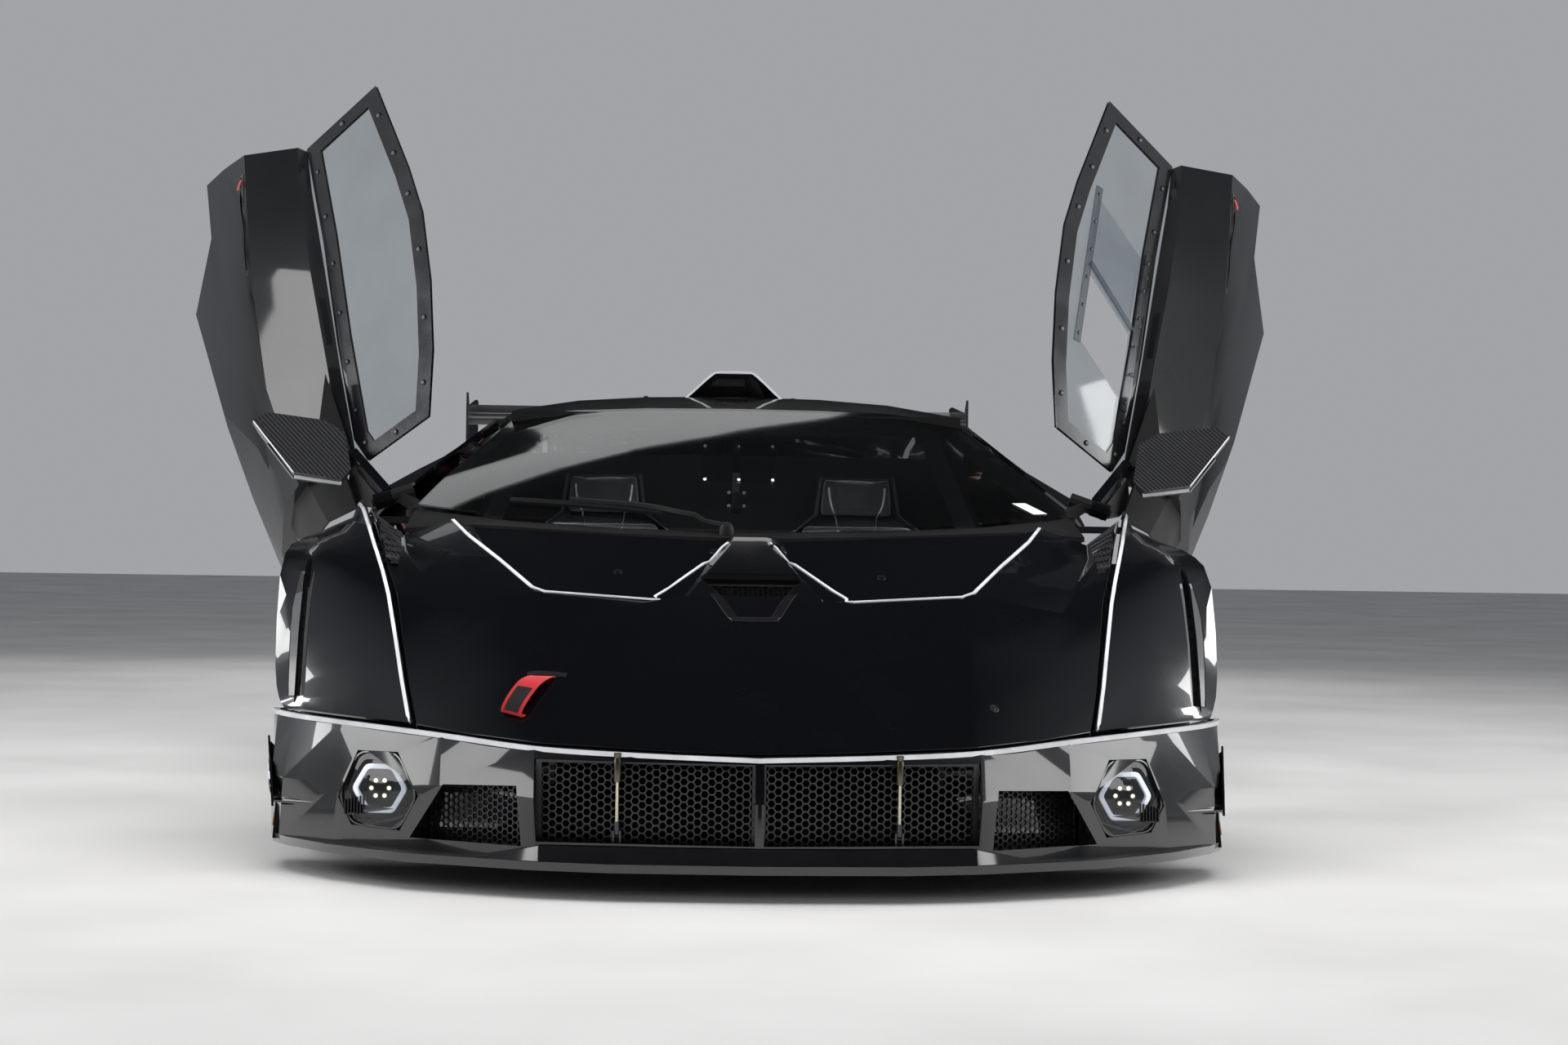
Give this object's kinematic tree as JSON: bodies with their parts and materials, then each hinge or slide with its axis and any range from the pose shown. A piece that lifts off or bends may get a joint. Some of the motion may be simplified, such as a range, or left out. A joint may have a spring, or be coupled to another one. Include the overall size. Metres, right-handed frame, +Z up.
{
  "type": "track-only mid-engine supercar",
  "caption": "Low black mid-engine track car with both scissor doors raised, rear wing, roof scoop, steered front wheels and free-rolling wheels.",
  "frame": {"origin": "on the floor, mid-length and mid-width of the whole car as it stands with both doors open", "axes": "+Z up, nose toward -Y, +X toward the car's left-hand side"},
  "size_m": [3.004, 4.9, 1.8709],
  "materials": {
    "paint": "gloss",
    "carbon": "satin",
    "trim": "matte",
    "clear": "gloss",
    "lamp": "gloss",
    "seat": "matte",
    "cast": "cast",
    "exhaust": "brushed",
    "chassis_metal": "satin",
    "rim": "satin",
    "disc": "machined",
    "tyre": "matte"
  },
  "bodies": {
    "chassis": {"bonnet": "paint", "dashboard": "trim", "engine": "cast", "engine_cover": "paint", "exhausts": "exhaust", "fender_left": "paint", "fender_right": "paint", "floor_diffuser": "carbon", "front_arms": "chassis_metal", "front_bumper": "paint", "grilles": "trim", "lamps": "lamp", "quarter_left": "paint", "quarter_right": "paint", "rear_arms": "chassis_metal", "rear_bumper": "paint", "rear_wing": "carbon", "roof": "paint", "roof_scoop": "paint", "seats": "seat", "splitter": "carbon", "tub": "carbon", "windscreen": "clear", "wiper": "trim"},
    "door_left": {"door_left": "paint", "window_left": "clear", "mirror_left": "carbon"},
    "upright_left": {"knuckle_left": "chassis_metal"},
    "wheel_front_left": {"tyre_front_left": "tyre", "rim_front_left": "rim", "disc_front_left": "disc"},
    "wheel_rear_left": {"tyre_rear_left": "tyre", "rim_rear_left": "rim", "disc_rear_left": "disc"},
    "door_right": {"door_right": "paint", "window_right": "clear", "mirror_right": "carbon"},
    "upright_right": {"knuckle_right": "chassis_metal"},
    "wheel_front_right": {"tyre_front_right": "tyre", "rim_front_right": "rim", "disc_front_right": "disc"},
    "wheel_rear_right": {"tyre_rear_right": "tyre", "rim_rear_right": "rim", "disc_rear_right": "disc"},
    "steering_wheel": {"steering_wheel": "trim"}
  },
  "joints": [
    {"name": "steer_left", "type": "hinge", "parent": "chassis", "child": "upright_left", "pos_m": [0.692, -1.33, 0.34], "axis": [0, 0, 1], "range_deg": [-20, 20]},
    {"name": "roll_front_left", "type": "hinge", "parent": "upright_left", "child": "wheel_front_left", "pos_m": [0.864, -1.33, 0.34], "axis": [1, 0, 0], "continuous": true},
    {"name": "roll_rear_left", "type": "hinge", "parent": "chassis", "child": "wheel_rear_left", "pos_m": [0.864, 1.47, 0.355], "axis": [1, 0, 0], "continuous": true},
    {"name": "door_hinge_left", "type": "hinge", "parent": "chassis", "child": "door_left", "pos_m": [0.864, -1.064, 0.814], "axis": [0.9464, -0.0401, -0.3206], "range_deg": [-60, 0]},
    {"name": "steer_right", "type": "hinge", "parent": "chassis", "child": "upright_right", "pos_m": [-0.692, -1.33, 0.34], "axis": [0, 0, 1], "range_deg": [-20, 20]},
    {"name": "roll_front_right", "type": "hinge", "parent": "upright_right", "child": "wheel_front_right", "pos_m": [-0.864, -1.33, 0.34], "axis": [1, 0, 0], "continuous": true},
    {"name": "roll_rear_right", "type": "hinge", "parent": "chassis", "child": "wheel_rear_right", "pos_m": [-0.864, 1.47, 0.355], "axis": [1, 0, 0], "continuous": true},
    {"name": "door_hinge_right", "type": "hinge", "parent": "chassis", "child": "door_right", "pos_m": [-0.864, -1.064, 0.814], "axis": [0.9464, 0.0401, 0.3206], "range_deg": [-60, 0]},
    {"name": "steering_column", "type": "hinge", "parent": "chassis", "child": "steering_wheel", "pos_m": [0.36, -0.64, 0.64], "axis": [0, 0.9578, 0.2873], "range_deg": [-160, 160]}
  ],
  "couplings": [
    {"joint": "steer_right", "follows": "steer_left", "ratio": 1},
    {"joint": "steering_column", "follows": "steer_left", "ratio": 8}
  ]
}
